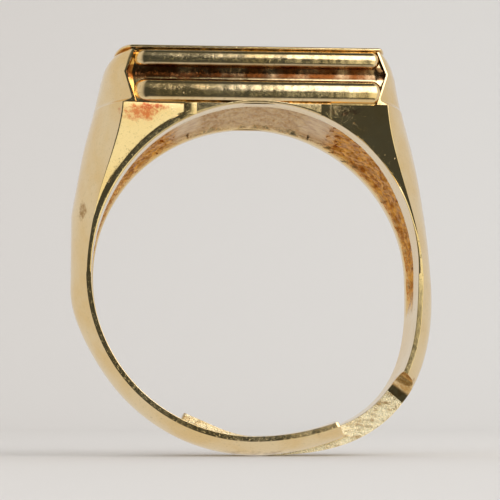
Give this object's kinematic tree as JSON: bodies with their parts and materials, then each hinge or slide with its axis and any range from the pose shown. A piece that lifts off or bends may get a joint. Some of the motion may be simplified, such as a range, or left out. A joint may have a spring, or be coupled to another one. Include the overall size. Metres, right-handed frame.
{
  "type": "signet ring",
  "caption": "Adjustable signet ring with a flat table, fluted gallery sides, tapered shoulders and a shank that laps side by side under the finger.",
  "frame": {"origin": "centre of the finger bore", "axes": "+Z from the bore centre to the signet plate, Y along the finger, +X across the finger"},
  "size_m": [0.0216, 0.0104, 0.0234],
  "materials": {
    "cast_gold_plate": "polished gold plate, rough as cast under the head",
    "gallery_gold_plate": "polished gold plate with tarnish in the groove",
    "plate_gold_plate": "polished gold plate, lightly scratched",
    "shank_gold_plate": "polished gold plate with small pits"
  },
  "bodies": {
    "head": {"head_casting": "cast_gold_plate", "front_gallery": "gallery_gold_plate", "rear_gallery": "gallery_gold_plate", "signet_plate": "plate_gold_plate"},
    "left_shank": {"left_arm": "shank_gold_plate"},
    "right_shank": {"right_arm": "shank_gold_plate"}
  },
  "joints": [
    {"name": "left_bend", "type": "hinge", "parent": "head", "child": "left_shank", "pos_m": [-0.01013, 0, 0], "axis": [0, 1, 0], "range_deg": [-4, 6]},
    {"name": "right_bend", "type": "hinge", "parent": "head", "child": "right_shank", "pos_m": [0.01013, 0, 0], "axis": [0, -1, 0], "range_deg": [-4, 6]}
  ]
}
